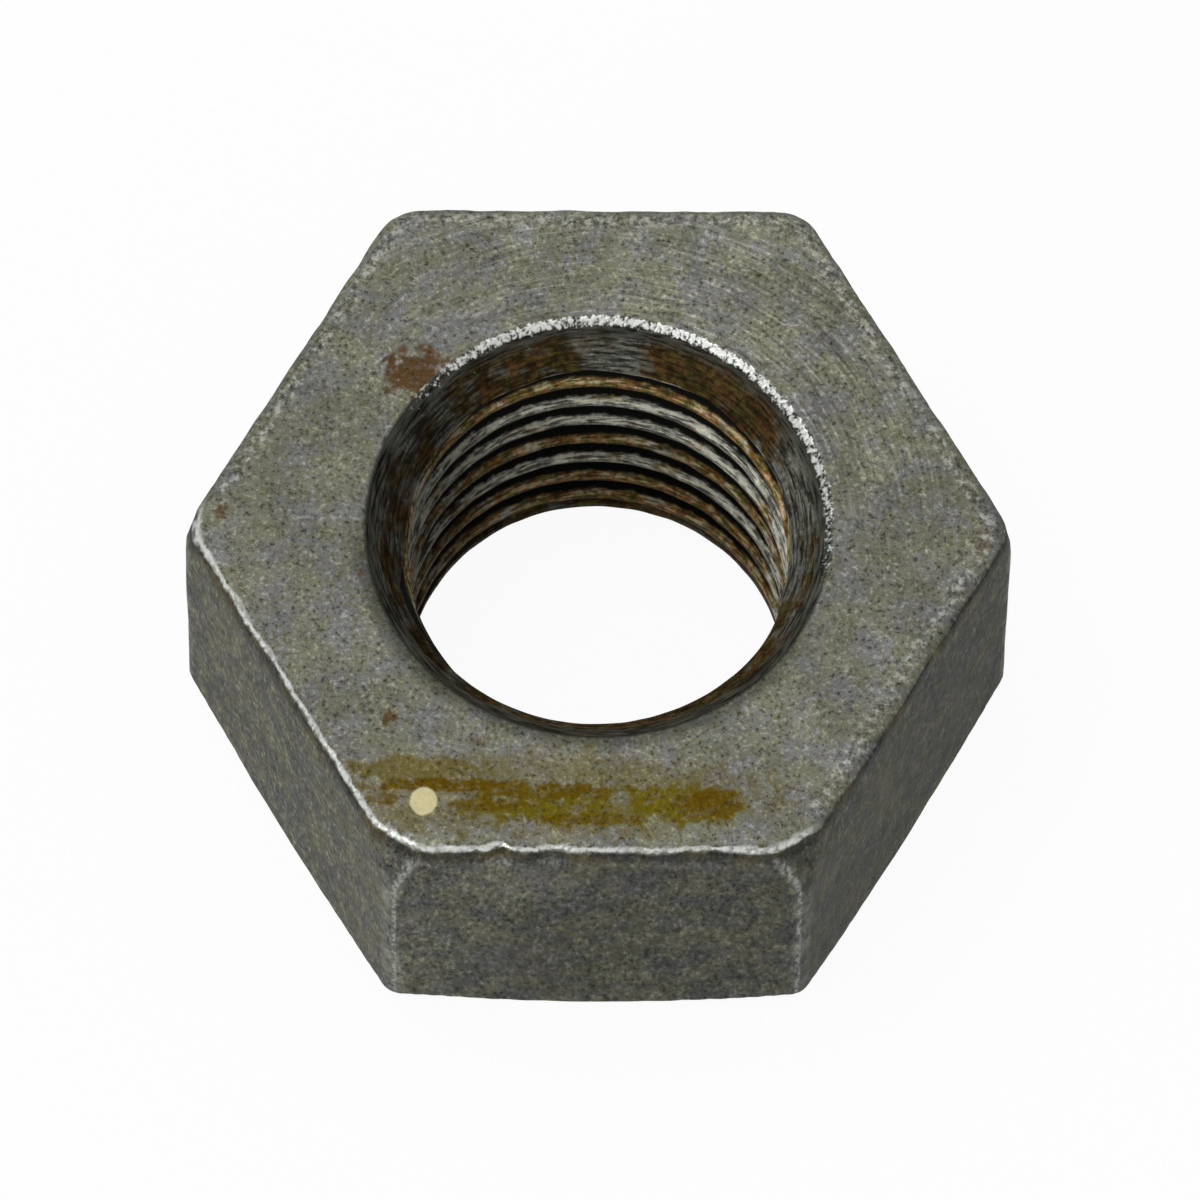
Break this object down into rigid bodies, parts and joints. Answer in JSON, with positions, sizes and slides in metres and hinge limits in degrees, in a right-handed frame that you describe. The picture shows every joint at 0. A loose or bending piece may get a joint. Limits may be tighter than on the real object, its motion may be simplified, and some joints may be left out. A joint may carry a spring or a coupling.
{
  "type": "hexagon nut",
  "caption": "Worn steel hexagon nut with a fine right-hand through thread, a wide top countersink and chamfered corners, for clamping parts on a screw.",
  "frame": {"origin": "middle of the bottom bearing face, on the thread's axis", "axes": "+Z is the thread's axis and points up through the countersunk top face; flats face +Y and -Y, corners point along +X and -X"},
  "size_m": [0.0194, 0.017, 0.0084],
  "materials": {
    "worn_steel": "dull grey worn steel with bright rubbed edges, rust in the thread and a yellow-brown stain on the top face"
  },
  "bodies": {
    "root": {"hex_nut": "worn_steel"}
  },
  "joints": []
}
